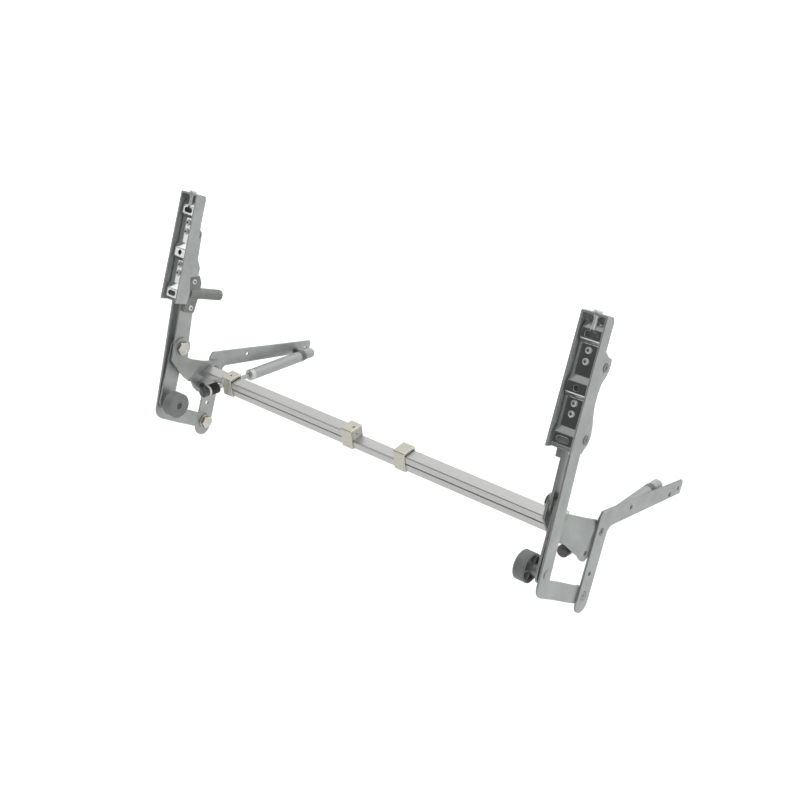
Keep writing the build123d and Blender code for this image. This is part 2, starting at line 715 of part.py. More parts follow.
def bar_tube(start, stop, level):
    """Rectangular tube between two X positions, above (1) or below (-1) the joint line."""
    middle = level * (bar_height + bar_joint_gap) / 2
    height = bar_height - bar_joint_gap
    outer = Pos(0, middle) * RectangleRounded(bar_width, height, bar_corner)
    inner = Pos(0, middle) * RectangleRounded(bar_width - 2 * bar_wall, height - 2 * bar_wall, bar_corner / 2)
    profile = outer - inner
    for side in (-1, 1):
        profile -= Pos(side * bar_width / 2) * Rectangle(2 * bar_rebate_depth, 2 * bar_rebate_height)
    return extrude(bar_frame(start) * profile, stop - start)


def bar_plug(start, stop):
    size = (bar_width - 2 * bar_wall, bar_height - bar_joint_gap - 2 * bar_wall)
    profile = Pos(0, (bar_height + bar_joint_gap) / 2) * RectangleRounded(*size, bar_corner / 2)
    return extrude(bar_frame(start) * profile, stop - start)


def clip(centre):
    opening = Pos(0, clip_headroom / 2) * Rectangle(bar_width, 2 * bar_height + clip_headroom)
    outer = Pos(0, (clip_headroom + clip_roof - clip_wall) / 2) * RectangleRounded(
        bar_width + 2 * clip_wall, 2 * bar_height + clip_headroom + clip_wall + clip_roof, clip_corner)
    body = extrude(bar_frame(centre - clip_length / 2) * outer, clip_length)
    ends = body.edges().group_by(Axis.X)
    body = chamfer(ends[0] + ends[-1], clip_edge)
    return body - extrude(bar_frame(centre - clip_length / 2) * opening, clip_length)


def clip_screw(centre, offset, whole=False):
    """Set screw through the top wall of a clip, down onto the bar; whole for the hole it sits in."""
    tilt = radians(bar_tilt)
    up = Vector(0, -sin(tilt), cos(tilt))
    foot = Vector(centre + offset, *BAR) + up * bar_height
    frame = Plane(origin=foot, x_dir=(1, 0, 0), z_dir=up)
    top = clip_headroom + clip_roof - 0.3
    body = frame * extrude(Circle(clip_screw_radius), top + 1 if whole else top)
    return body if whole else body - frame * Pos(0, 0, top) * Box(2.2, 0.6, 0.8)


# Write every node

def on_side(side, shape):
    """Place a shape drawn at the left wall on its side of the cabinet."""
    left = Pos(-half_cabinet, 0, 0) * shape
    return left if side == "left" else mirror(left, about=Plane.YZ)


def write(name, *shapes):
    solids = [solid for shape in shapes for solid in shape.solids()]
    shape = solids[0] if len(solids) == 1 else Compound(children=solids)
    shape.label = name
    export_step(shape, f"parts/{name}.step")


os.makedirs("parts", exist_ok=True)

for side in ("left", "right"):
    pieces = {
        "bracket": bracket(), "lift_pin": lift_pin(), "arm_bolt": arm_bolt(), "anchor_stud": anchor_stud(),
        "lever_plate": lever_plate(), "upper_link": upper_link(), "hinge_bolt": hinge_bolt(),
        "stud_bolt": stud_bolt(), "tie_link": tie_link(), "heel_pin": heel_pin(), "arm": j_arm(),
        "buffer": buffer(), "buffer_screw": buffer_screw(), "door_channel": door_channel(),
        "height_screw": height_screw(), "adjuster_plate": adjuster_plate(),
        "damper_housing": damper_housing(side == "left"), "strut_rod": strut_rod(),
        "rod_socket": rod_socket(), "rod_ring": rod_ring(), "rod_cap": rod_cap(),
        "strut_tube": strut_tube(), "strut_tail": strut_tail(),
    }
    for name, shape in pieces.items():
        write(f"{side}_{name}", on_side(side, shape))
    write(f"{side}_channel_rivets", *[on_side(side, rivet) for rivet in channel_rivets()])
    write(f"{side}_clamp_screws", *[on_side(side, screw) for screw in clamp_screws()])
    write(f"{side}_housing_screws", *[on_side(side, screw) for screw in housing_screws()])

write("left_damper_cylinder", on_side("left", damper_cylinder()))
write("left_damper_plunger", on_side("left", damper_plunger()))

trims = {}
for side in ("left", "right"):
    behind = behind_step(LIFT_PIVOT, lever_bend_angle, LEVER_PATH, sheet_reach)
    trims[side] = on_side(side, behind) + on_side(side, lever_plate())
screws = [clip_screw(centre, offset) for centre, offset in zip(clip_centres, clip_screw_offsets)
          if offset is not None]
clips = Compound(children=[clip(centre) for centre in clip_centres])
for centre, offset in zip(clip_centres, clip_screw_offsets):
    if offset is not None:
        clips -= clip_screw(centre, offset, whole=True)
write("left_bar", bar_tube(-half_cabinet, left_bar_end, 1) - trims["left"])
write("right_bar", bar_tube(right_bar_end, half_cabinet, 1) - trims["right"])
write("low_bar", bar_tube(low_bar_left_gap - half_cabinet, half_cabinet - low_bar_right_gap, -1))
write("bar_plugs", bar_plug(-half_cabinet, -half_cabinet + plug_length) - trims["left"],
      bar_plug(half_cabinet - plug_length, half_cabinet) - trims["right"])
write("bar_clips", clips)
write("clip_screws", *screws)
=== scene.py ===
# %% [markdown]
# A lift-up door mechanism: two mirrored sets of steel plates and links that swing a cabinet door up,
# a gas strut on each side, and an aluminium bar that makes both sides move together.
# The solid model comes in first, as a fixed frame. Everything that follows dresses that frame.

# %% Load the frame
import math
import bpy
import numpy as np
from mathutils import Matrix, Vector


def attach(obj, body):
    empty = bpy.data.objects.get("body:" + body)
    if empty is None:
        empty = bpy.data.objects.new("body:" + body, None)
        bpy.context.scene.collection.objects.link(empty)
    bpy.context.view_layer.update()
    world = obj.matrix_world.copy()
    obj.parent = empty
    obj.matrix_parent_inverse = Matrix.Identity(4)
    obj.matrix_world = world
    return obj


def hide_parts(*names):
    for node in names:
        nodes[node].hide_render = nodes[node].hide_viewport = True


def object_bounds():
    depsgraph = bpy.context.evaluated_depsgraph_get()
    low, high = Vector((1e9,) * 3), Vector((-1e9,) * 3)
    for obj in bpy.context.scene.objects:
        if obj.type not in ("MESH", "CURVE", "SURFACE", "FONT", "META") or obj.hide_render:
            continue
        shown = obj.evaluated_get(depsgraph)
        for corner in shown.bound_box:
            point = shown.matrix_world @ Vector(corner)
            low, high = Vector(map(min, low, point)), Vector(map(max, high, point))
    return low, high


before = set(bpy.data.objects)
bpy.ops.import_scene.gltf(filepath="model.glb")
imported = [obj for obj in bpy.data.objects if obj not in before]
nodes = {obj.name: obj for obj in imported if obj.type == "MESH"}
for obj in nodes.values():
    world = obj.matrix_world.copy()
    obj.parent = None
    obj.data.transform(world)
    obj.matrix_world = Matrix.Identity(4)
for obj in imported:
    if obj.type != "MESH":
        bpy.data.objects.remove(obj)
cad_box = [list(corner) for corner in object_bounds()]
frame_materials = len(bpy.data.materials)
SIDES = (("left", -1), ("right", 1))
scene = bpy.context.scene
scene.view_settings.view_transform = "Standard"
print("nodes", len(nodes), "box", cad_box)

# %% [markdown]
# The camera stands to the right of the object, a little above it, and looks down by eleven degrees. It
# leans by almost fourteen degrees too, which adds to the bar's slope in the picture.
# Its place and its lens were worked out from points that the two mirrored sides share.

# %% Camera
FOCAL_PIXELS, IMAGE_PIXELS, SENSOR_MM = 1149.32, 800, 36.0


def stand(thing, right, up, back, place):
    """Link a camera or a lamp. Its matrix has its X, Y and Z axes and its place as columns."""
    matrix = np.eye(4)
    matrix[:3] = np.stack([right, up, back, place], 1)
    thing.matrix_world = Matrix(matrix.tolist())
    scene.collection.objects.link(thing)


camera = bpy.data.objects.new("camera", bpy.data.cameras.new("camera"))
stand(camera, right=(0.76544, 0.60044, 0.23146), up=(-0.29885, 0.01314, 0.95421),
      back=(0.56990, -0.79956, 0.18950), place=(0.77926, -1.07831, 0.35558))
camera.data.sensor_width = SENSOR_MM
camera.data.lens = FOCAL_PIXELS / IMAGE_PIXELS * SENSOR_MM
camera.data.clip_start, camera.data.clip_end = 0.05, 60.0
scene.camera = camera
print("lens", round(camera.data.lens, 2), "mm")

# %% [markdown]
# Three small tools come next. One turns an sRGB hex colour into the linear numbers that shaders use. One
# adds a shader node, sets its values and makes its links, so a material reads as a short list. The last
# starts a material.

# %% Colour and node helpers


def linear(code, share=1.0):
    """sRGB hex to linear, times share: c / 12.92 below 0.04045, else ((c + 0.055) / 1.055) ** 2.4."""
    c = np.array([int(code[i:i + 2], 16) / 255 for i in (1, 3, 5)])
    light = np.where(c <= 0.04045, c / 12.92, ((c + 0.055) / 1.055) ** 2.4)
    return (*(share * light), 1.0)


def add(tree, kind, values=None, links=None, **settings):
    """Add a node: settings are its own options, values its socket values, links its inputs."""
    node = tree.nodes.new(kind)
    for key, value in settings.items():
        setattr(node, key, value)
    for key, value in (values or {}).items():
        node.inputs[key].default_value = value
    for key, socket in (links or {}).items():
        tree.links.new(socket, node.inputs[key])
    return node


def blank_material(name):
    """A new node material with only its output left in it."""
    material = bpy.data.materials.new(name)
    material.use_nodes = True
    tree = material.node_tree
    tree.nodes.clear()
    return material, tree, tree.nodes.new("ShaderNodeOutputMaterial")


print("middle grey is", round(linear("#808080")[0], 3), "in linear light")

# %% [markdown]
# No real finish has one flat tone. A plating, an anodised tube or a moulding drifts a little from place
# to place, so every finish below lets a noise move its tone between a darker and a lighter share.

# %% A tone that drifts
DRIFT_STOPS = (0.3, 0.7)
GRAIN_DEPTH = 0.0001


def drifting_tone(tree, noise, tone, darkest, lightest):
    """Colour = tone * share, where share goes from darkest to lightest as the noise passes the stops."""
    shades = add(tree, "ShaderNodeValToRGB", None, {"Fac": noise.outputs["Fac"]})
    for stop, position, share in zip(shades.color_ramp.elements, DRIFT_STOPS, (darkest, lightest)):
        stop.position = position
        stop.color = linear(tone, share)
    return shades.outputs["Color"]


print("bumps are", GRAIN_DEPTH * 1000, "mm deep")

# %% [markdown]
# Sheet steel with a zinc-nickel plating is satin: it mirrors only broad shapes. Its blanked edges were
# cut through the sheet, so they have a tone of their own. Their rims get painted light: a lighter tone
# along them, a painted highlight, and on turned pins a darker one, painted shade. An edge is
# found from the surface's own direction: the plates' faces look along X, and edges do not. A rim is where
# the rounded direction leaves the face's own. The real grain is too fine to show, so it is drawn coarser.

# %% Plated steel
RIM_RADIUS, RIM_SAMPLES = 0.0006, 6
EDGE_STARTS, EDGE_FULL, EDGE_MOST = 0.75, 0.3, 0.7
PAINTED_RIM_STARTS, PAINTED_RIM_FULL, PAINTED_RIM_MOST = 0.995, 0.85, 0.6
SMOOTHER, ROUGHER = 0.05, 0.06
WALL_START, WALL_END = 0.2965, 0.2975


# The default rim tone, a light grey, is a painted highlight along the rims.
def plated_steel(name, tone, edge_tone, rough, drift_mm=26.0, grain_mm=0.9, metallic=0.9, peened=None,
                 painted_rim_tone="#DADCDB", sway=0.12, relief=0.12):
    """Satin plated steel. Noise of drift_mm moves the tone, noise of grain_mm gives gloss and bump.

    More tones are laid over it, each by a share that runs from 0 to its most: the edges' as |x| of the
    normal falls, then, on a bolt that was peened flat at the cabinet's wall, the peened end's as |x| of
    the place passes the wall, and the rims' as the dot product of rounded and own normal falls."""
    material, tree, output = blank_material(name)
    coordinates = add(tree, "ShaderNodeTexCoord")
    place = {"Vector": coordinates.outputs["Object"]}
    drift = add(tree, "ShaderNodeTexNoise",
                {"Scale": 1000 / drift_mm, "Detail": 3.0, "Roughness": 0.55}, place)
    grain = add(tree, "ShaderNodeTexNoise",
                {"Scale": 1000 / grain_mm, "Detail": 2.0, "Roughness": 0.6}, place)
    facing = add(tree, "ShaderNodeSeparateXYZ", None, {"Vector": coordinates.outputs["Normal"]})
    flat = add(tree, "ShaderNodeMath", None, {0: facing.outputs["X"]}, operation="ABSOLUTE")
    edge = add(tree, "ShaderNodeMapRange",
               {"From Min": EDGE_STARTS, "From Max": EDGE_FULL, "To Max": EDGE_MOST},
               {"Value": flat.outputs[0]})
    layers = [(edge_tone, edge)]
    if peened:
        spot = add(tree, "ShaderNodeSeparateXYZ", None, place)
        depth = add(tree, "ShaderNodeMath", None, {0: spot.outputs["X"]}, operation="ABSOLUTE")
        wall = add(tree, "ShaderNodeMapRange", {"From Min": WALL_START, "From Max": WALL_END},
                   {"Value": depth.outputs[0]})
        layers.append((peened, wall))
    rounded = add(tree, "ShaderNodeBevel", {"Radius": RIM_RADIUS}, samples=RIM_SAMPLES)
    own = add(tree, "ShaderNodeNewGeometry")
    turn = add(tree, "ShaderNodeVectorMath", None, {0: rounded.outputs[0], 1: own.outputs["Normal"]},
               operation="DOT_PRODUCT")
    # The rim tone laid on here is painted light: a painted highlight where it is lighter than the plate,
    # painted shade where it is darker.
    rim = add(tree, "ShaderNodeMapRange",
              {"From Min": PAINTED_RIM_STARTS, "From Max": PAINTED_RIM_FULL, "To Max": PAINTED_RIM_MOST},
              {"Value": turn.outputs["Value"]})
    layers.append((painted_rim_tone, rim))
    colour = drifting_tone(tree, drift, tone, 1 - sway, 1 + 0.7 * sway)
    for layer_tone, share in layers:
        mix = add(tree, "ShaderNodeMix", {"B": linear(layer_tone)},
                  {"Factor": share.outputs[0], "A": colour}, data_type="RGBA")
        colour = mix.outputs["Result"]
    gloss = add(tree, "ShaderNodeMapRange",
                {"From Min": DRIFT_STOPS[0], "From Max": DRIFT_STOPS[1],
                 "To Min": rough - SMOOTHER, "To Max": rough + ROUGHER}, {"Value": grain.outputs["Fac"]})
    bump = add(tree, "ShaderNodeBump", {"Strength": relief, "Distance": GRAIN_DEPTH},
               {"Height": grain.outputs["Fac"], "Normal": rounded.outputs[0]})
    shader = add(tree, "ShaderNodeBsdfPrincipled", {"Metallic": metallic},
                 {"Base Color": colour, "Roughness": gloss.outputs[0], "Normal": bump.outputs[0]})
    tree.links.new(shader.outputs[0], output.inputs["Surface"])
    return material


print("rims are rounded by", RIM_RADIUS * 1000, "mm")

# %% [markdown]
# The plates share one satin grey, within a shade, and differ in how much they mirror and in their edges
# and rims, whose lighter tone is a painted highlight. Turned pins are darker, with dark rims: painted
# shade for the shadow that their grooves hold. The adjuster strips are bright nickel and mirror the room.
# Bolt heads and clips are a warmer nickel, screws are zinc and almost white, and the set screws are
# phosphated, which is near black. The strut's rod is ground and chromed, so it is smooth.

# %% The steels of the mechanism
satin_plate = plated_steel("satin zinc-nickel plated steel", "#A2A6A4", "#8A8D8B", 0.48, metallic=0.75)
lever_steel = plated_steel("satin plated lever steel", "#A1A5A3", "#8A8D8B", 0.48, metallic=0.78)
channel_plate = plated_steel("satin plated channel steel", "#A2A5A4", "#9C9F9E", 0.48, metallic=0.6)
# The bracket's rim tone, lighter than its plate, is a painted highlight.
bracket_plate = plated_steel("satin plated bracket steel", "#A2A5A4", "#8A8D8C", 0.48, metallic=0.8,
                             painted_rim_tone="#B4B6B5")
# The turned pins' darker tone and dark rim tone are painted shade.
turned_pin = plated_steel("turned plated pin", "#777976", "#6E706D", 0.38, drift_mm=9.0, grain_mm=0.5,
                          painted_rim_tone="#444644")
bright_nickel = plated_steel("bright nickel-plated steel", "#BABEBD", "#C6CAC9", 0.12, drift_mm=14.0,
                             grain_mm=1.4, metallic=1.0)
strut_steel = plated_steel("ground chromed rod", "#9FA2A1", "#A6A9A8", 0.25, drift_mm=6.0, grain_mm=0.6)
zinc_screw = plated_steel("bright zinc-plated screw", "#CDD0CF", "#D6D8D7", 0.3, drift_mm=6.0,
                          grain_mm=0.6, metallic=0.45)
# Near black: the set screws' own finish, and also painted shade in the pan heads' recesses.
dark_screw_and_recess_shade = plated_steel("black phosphated set screw", "#343534", "#4A4B4A", 0.4, drift_mm=6.0,
                          grain_mm=0.6, metallic=0.6)
# The clips' near-white rim tone is a painted highlight.
clip_steel = plated_steel("warm nickel-plated clip", "#B9B6AB", "#B6B3A8", 0.27, drift_mm=14.0,
                          grain_mm=6.0, painted_rim_tone="#F0EEE6", sway=0.03, relief=0.01)
hexagon_steel = plated_steel("warm nickel-plated bolt head", "#BDBBB2", "#8F8D85", 0.22, drift_mm=9.0,
                             grain_mm=0.6, metallic=0.95, peened="#7C7E7C")
print("steels", len(bpy.data.materials) - frame_materials)

# %% [markdown]
# The bar is drawn aluminium, anodised to a soft silver. Drawing leaves faint lines along the tube, so
# the noise is stretched along X. The strut's tube and its bushing lie square to X, so there the same
# lines run across the metal, as grinding and rolling leave them.

# %% Drawn metal
EDGE_RADIUS, EDGE_SAMPLES = 0.0005, 4


def drawn_metal(name, tone, rough, line_mm=0.6, streak_mm=125.0):
    """Satin metal with fine lines: noise that is streak_mm long in X, and line_mm wide across it."""
    material, tree, output = blank_material(name)
    coordinates = add(tree, "ShaderNodeTexCoord")
    squeeze = add(tree, "ShaderNodeMapping", {"Scale": (1000 / streak_mm, 1000 / line_mm, 1000 / line_mm)},
                  {"Vector": coordinates.outputs["Object"]})
    lines = add(tree, "ShaderNodeTexNoise", {"Scale": 1.0, "Detail": 2.0}, {"Vector": squeeze.outputs[0]})
    rounded = add(tree, "ShaderNodeBevel", {"Radius": EDGE_RADIUS}, samples=EDGE_SAMPLES)
    bump = add(tree, "ShaderNodeBump", {"Strength": 0.1, "Distance": GRAIN_DEPTH},
               {"Height": lines.outputs["Fac"], "Normal": rounded.outputs[0]})
    shader = add(tree, "ShaderNodeBsdfPrincipled", {"Metallic": 0.85, "Roughness": rough},
                 {"Base Color": drifting_tone(tree, lines, tone, darkest=0.93, lightest=1.04),
                  "Normal": bump.outputs[0]})
    tree.links.new(shader.outputs[0], output.inputs["Surface"])
    return material


bar_silver = drawn_metal("satin anodised aluminium", "#B7B7B6", 0.36)
tube_silver = drawn_metal("satin strut tube", "#A0A3A2", 0.5)
guide_silver = drawn_metal("rolled bushing steel", "#B9BBBA", 0.4)
print("steels and drawn metals", len(bpy.data.materials) - frame_materials)

# %% [markdown]
# The buffers, the damper and the strut's ends are moulded plastic. A spark-eroded mould leaves an even,
# fine grain, which scatters the light, so the plastic looks flat and soft. Its tone has a faint cloud in
# it, where the pigment is not quite even.

# %% Moulded plastic
CLOUD_MM = 25 / 3


def moulded(name, tone, rough, grain_mm=0.7):
    """Moulded polymer: noise of CLOUD_MM moves the tone, noise of grain_mm gives the bump."""
    material, tree, output = blank_material(name)
    place = {"Vector": add(tree, "ShaderNodeTexCoord").outputs["Object"]}
    grain = add(tree, "ShaderNodeTexNoise", {"Scale": 1000 / grain_mm, "Detail": 2.0}, place)
    cloud = add(tree, "ShaderNodeTexNoise", {"Scale": 1000 / CLOUD_MM, "Detail": 2.0}, place)
    rounded = add(tree, "ShaderNodeBevel", {"Radius": EDGE_RADIUS}, samples=EDGE_SAMPLES)
    bump = add(tree, "ShaderNodeBump", {"Strength": 0.15, "Distance": GRAIN_DEPTH},
               {"Height": grain.outputs["Fac"], "Normal": rounded.outputs[0]})
    shader = add(tree, "ShaderNodeBsdfPrincipled", {"Roughness": rough},
                 {"Base Color": drifting_tone(tree, cloud, tone, darkest=0.9, lightest=1.08),
                  "Normal": bump.outputs[0]})
    tree.links.new(shader.outputs[0], output.inputs["Surface"])
    return material


grey_polymer = moulded("grey moulded polymer", "#7A7C7A", 0.5)
buffer_polymer = moulded("grey buffer polymer", "#737574", 0.5)
black_polymer = moulded("black moulded polymer", "#232423", 0.38)
cap_polymer = moulded("dark grey moulded cap", "#4B4C4B", 0.34)
tail_polymer = moulded("light grey moulded tail", "#A6A9A7", 0.38)
seal_polymer = moulded("grey moulded seal", "#5E605F", 0.4)
white_polymer = moulded("white moulded ring", "#F0F0EC", 0.4)
plunger_polymer = moulded("light grey plunger polymer", "#9EA09F", 0.4)
plug_polymer = moulded("pale moulded end plug", "#B5B3AA", 0.45)
nylon = moulded("dark nylon plug", "#4A4B4A", 0.5)
print("all finishes", len(bpy.data.materials) - frame_materials)

# %% [markdown]
# Each node of the frame now gets its finish. The node's name, without its side, says what it is.

# %% Give the frame its finishes
finish_of = {
    "bracket": bracket_plate, "lift_pin": turned_pin, "arm_bolt": hexagon_steel,
    "anchor_stud": turned_pin, "lever_plate": lever_steel, "upper_link": satin_plate,
    "hinge_bolt": hexagon_steel, "stud_bolt": turned_pin, "tie_link": satin_plate,
    "heel_pin": satin_plate, "arm": satin_plate, "buffer": buffer_polymer, "buffer_screw": dark_screw_and_recess_shade,
    "door_channel": channel_plate, "height_screw": zinc_screw, "adjuster_plate": bright_nickel,
    "damper_housing": grey_polymer, "damper_cylinder": grey_polymer, "damper_plunger": plunger_polymer,
    "strut_rod": strut_steel, "rod_socket": black_polymer, "rod_ring": white_polymer,
    "rod_cap": cap_polymer, "strut_tube": tube_silver, "strut_tail": tail_polymer,
    "channel_rivets": turned_pin, "clamp_screws": zinc_screw, "housing_screws": zinc_screw,
    "left_bar": bar_silver, "right_bar": bar_silver, "low_bar": bar_silver, "bar_plugs": nylon,
    "bar_clips": clip_steel, "clip_screws": dark_screw_and_recess_shade,
}
for name, node in nodes.items():
    plain_name = name if name in finish_of else name.split("_", 1)[1]
    node.data.materials.clear()
    node.data.materials.append(finish_of[plain_name])
print("dressed", len(nodes), "nodes")

# %% [markdown]
# Screws, collars and rings are turned parts, so one function draws them all: a profile is carried round
# an axis. The profile either closes on itself, as a ring's does, or starts and ends on the axis.

# %% Turned forms


def turned(origin, way, along, radius, turns, ring=False):
    """Point(s, a) = origin + along(s) * way + radius(s, a) * (cos a * side + sin a * over).

    along is one list of places on the axis. radius is a list too, or a grid of place by angle where the
    form has relief. side and over are square to way. Returns the points and the faces."""
    origin, along, radius = (np.asarray(value, float) for value in (origin, along, radius))
    way = np.asarray(way, float) / np.linalg.norm(way)
    side = np.cross(way, [0.0, 0.0, 1.0] if abs(way[2]) < 0.9 else [1.0, 0.0, 0.0])
    side /= np.linalg.norm(side)
    over = np.cross(way, side)
    a = np.linspace(0, 2 * np.pi, turns, endpoint=False)
    grid = radius if radius.ndim == 2 else np.repeat(radius[:, None], turns, 1)
    spokes = np.cos(a)[:, None] * side + np.sin(a)[:, None] * over
    points = (origin + along[:, None, None] * way + grid[..., None] * spokes).reshape(-1, 3)
    rows = len(along)
    i, j = np.meshgrid(np.arange(rows if ring else rows - 1), np.arange(turns), indexing="ij")
    next_i, next_j = (i + 1) % rows, (j + 1) % turns
    quads = np.stack([i * turns + j, next_i * turns + j, next_i * turns + next_j, i * turns + next_j], -1)
    faces = quads.reshape(-1, 4).tolist()
    if not ring:
        column = np.arange(turns)
        next_column = (column + 1) % turns
        first, last, last_row = len(points), len(points) + 1, (rows - 1) * turns
        points = np.concatenate([points, origin + np.outer([along[0], along[-1]], way)])
        faces += np.stack([np.full(turns, first), column, next_column], 1).tolist()
        faces += np.stack([np.full(turns, last), last_row + next_column, last_row + column], 1).tolist()
    return points, faces


def outward(points, faces):
    """The faces, turned round if the volume that they close is negative (divergence theorem)."""
    fan = np.array([(f[0], f[k], f[k + 1]) for f in faces for k in range(1, len(f) - 1)])
    p = points[fan]
    volume = np.einsum("ij,ij->i", p[:, 0], np.cross(p[:, 1], p[:, 2])).sum() / 6
    return (faces if volume > 0 else [f[::-1] for f in faces]), abs(volume)


def build(name, forms, body, materials, replaced=(), dark=None):
    """One piece of several forms. dark, given the number of faces, says which take the second material."""
    points, faces, total = np.zeros((0, 3)), [], 0.0
    for form_points, form_faces in forms:
        form_faces, volume = outward(form_points, form_faces)
        faces += [[k + len(points) for k in face] for face in form_faces]
        points = np.concatenate([points, form_points])
        total += volume
    mesh = bpy.data.meshes.new(name)
    mesh.from_pydata(points.tolist(), [], faces)
    piece = bpy.data.objects.new(name, mesh)
    scene.collection.objects.link(piece)
    for material in materials:
        mesh.materials.append(material)
    # The second material paints shade on the faces that this picks: the screws' recesses.
    if dark:
        mesh.polygons.foreach_set("material_index", dark(len(faces)).astype(np.int32))
    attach(piece, body)
    if replaced:
        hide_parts(*replaced)
    print(name, len(faces), "faces", round(total * 1e9, 1), "mm3")


unit_rod = turned((0, 0, 0), (1, 0, 0), (0, 1), (1, 1), 96)
print("a turned rod's volume over pi", round(outward(*unit_rod)[1] / math.pi, 3))

# %% [markdown]
# The adjuster and the damper housing are held by small pan-head screws. Their heads are domes with a
# four-lobed recess in the middle, and the recess is painted near black: painted shade for the shadow
# that it holds.
# Shares along the screw are of the head's height, and shares across it of the head's radius. Only the
# shank's core is a share of the shank's radius.

# %% Pan-head form
LOBES = 4
HEAD_TURNS = 48
DOME_ROWS = 7
RIM_RISE, RIM_REACH, RECESS_EDGE, SHANK_CORE = 0.45, 0.96, 0.5, 0.6
RECESS_DEPTHS, RECESS_RADII, LOBE_SWINGS = (0.02, 0.45, 0.6), (0.42, 0.38, 0.12), (0.16, 0.2, 0.1)
SHANK_ROWS, RECESS_ROWS = 4, len(RECESS_DEPTHS)
HEAD_ROWS = SHANK_ROWS + DOME_ROWS + RECESS_ROWS


def pan_head(origin, way, shank, shank_length, radius, height):
    """Profile: shank, underside, dome of height * (rise + (1 - rise) * sqrt(1 - t * t)), then recess.

    t is the distance from the axis as a share of the radius. The recess's radius swings with the cosine
    of LOBES times the angle, which draws its lobes."""
    t = np.linspace(1.0, RECESS_EDGE, DOME_ROWS)
    dome = height * (RIM_RISE + (1 - RIM_RISE) * np.sqrt(1 - t * t))
    along = np.concatenate([[0, 0, shank_length, shank_length], shank_length + dome,
                            shank_length + dome[-1] - height * np.array(RECESS_DEPTHS)])
    base = np.concatenate([[SHANK_CORE * shank, shank, shank, RIM_REACH * radius], radius * t,
                           radius * np.array(RECESS_RADII)])
    swing = np.concatenate([np.zeros(HEAD_ROWS - RECESS_ROWS), LOBE_SWINGS])
    a = np.linspace(0, 2 * np.pi, HEAD_TURNS, endpoint=False)
    grid = base[:, None] + radius * swing[:, None] * np.cos(LOBES * a)
    return turned(origin, way, along, grid, HEAD_TURNS)


# The faces picked here take the near-black finish, as painted shade in the recess.
def recess_faces(count):
    """Which of count faces lie in a recess: each head's last bands between recess rows, and its end."""
    band_faces = (HEAD_ROWS - 1) * HEAD_TURNS
    head_faces = band_faces + 2 * HEAD_TURNS
    index = np.arange(count) % head_faces
    wall = (index >= (HEAD_ROWS - RECESS_ROWS) * HEAD_TURNS) & (index < band_faces)
    return wall | (index >= head_faces - HEAD_TURNS)


print("rows in a pan head", HEAD_ROWS)

# %% [markdown]
# Four screws clamp each adjuster to its door channel, and two hold each damper housing to its link. They
# stand where the plain screws of the solid model are, and take their place.

# %% Pan-head screws
CLAMP_X, CLAMP_Y, CLAMP_HEIGHTS = 0.285, -0.1025, (0.2364, 0.2254, 0.1840, 0.1734)
HOUSING_X, HOUSING_PLACES = 0.283, ((-0.088007, 0.1660), (-0.085681, 0.1325))

for side, hand in SIDES:
    clamps = [pan_head((hand * CLAMP_X, CLAMP_Y, z), (0, -1, 0), shank=0.0020, shank_length=0.00405,
                       radius=0.0034, height=0.0021) for z in CLAMP_HEIGHTS]
    build(f"{side}_clamp_pan_screws", clamps, f"{side}_door_mount", (zinc_screw, dark_screw_and_recess_shade),
          (f"{side}_clamp_screws",), recess_faces)
    holders = [pan_head((hand * HOUSING_X, y, z), (-hand, 0, 0), shank=0.0018, shank_length=0.0089,
                        radius=0.0034, height=0.0016) for y, z in HOUSING_PLACES]
    build(f"{side}_housing_pan_screws", holders, "lift_frame", (zinc_screw, dark_screw_and_recess_shade),
          (f"{side}_housing_screws",), recess_faces)

# %% [markdown]
# The gas strut's turned pieces share one axis. It starts at the pivot on the lever's tip and ends at the
# stud on the bracket's rear arm, and places along it are counted from its start.

# %% The strut's axis
STRUT_RUN, STRUT_RISE = 0.170, 0.0515
STRUT_SPAN = math.hypot(STRUT_RUN, STRUT_RISE)
STRUT_WAY = np.array([0.0, STRUT_RUN, STRUT_RISE]) / STRUT_SPAN
STRUT_X, STRUT_Y, STRUT_Z = 0.278, -0.018, 0.024
RING_TURNS = 96


def strut_ring(hand, along, radius, turns=RING_TURNS):
    """A turned ring on the left (hand -1) or right (hand 1) strut, its profile closed on itself."""
    return turned((hand * STRUT_X, STRUT_Y, STRUT_Z), STRUT_WAY, along, radius, turns, ring=True)


print("strut", round(STRUT_SPAN * 1000, 1), "mm between its pivots")

# %% [markdown]
# Behind the white ring of each strut sits a knurled collar. Knurling presses two sets of slanting
# grooves into the plastic, and what stays between them is a field of small diamonds. So the collar's
# radius is lowered along both sets of grooves.

# %% Knurled collars
KNURL_PITCH = 0.0019
KNURL_DEPTH = 0.0006
KNURL_FADE = 0.0006
COLLAR_START, COLLAR_END, COLLAR_RADIUS, COLLAR_BORE = -0.0034, 0.0112, 0.0074, 0.0026
KNURL_START, KNURL_END = COLLAR_START + 0.0012, COLLAR_END - 0.0014
COLLAR_TURNS, COLLAR_ROWS = 192, 60
CHAMFER_REACH, CHAMFER_DEPTH = 0.0002, 0.0006


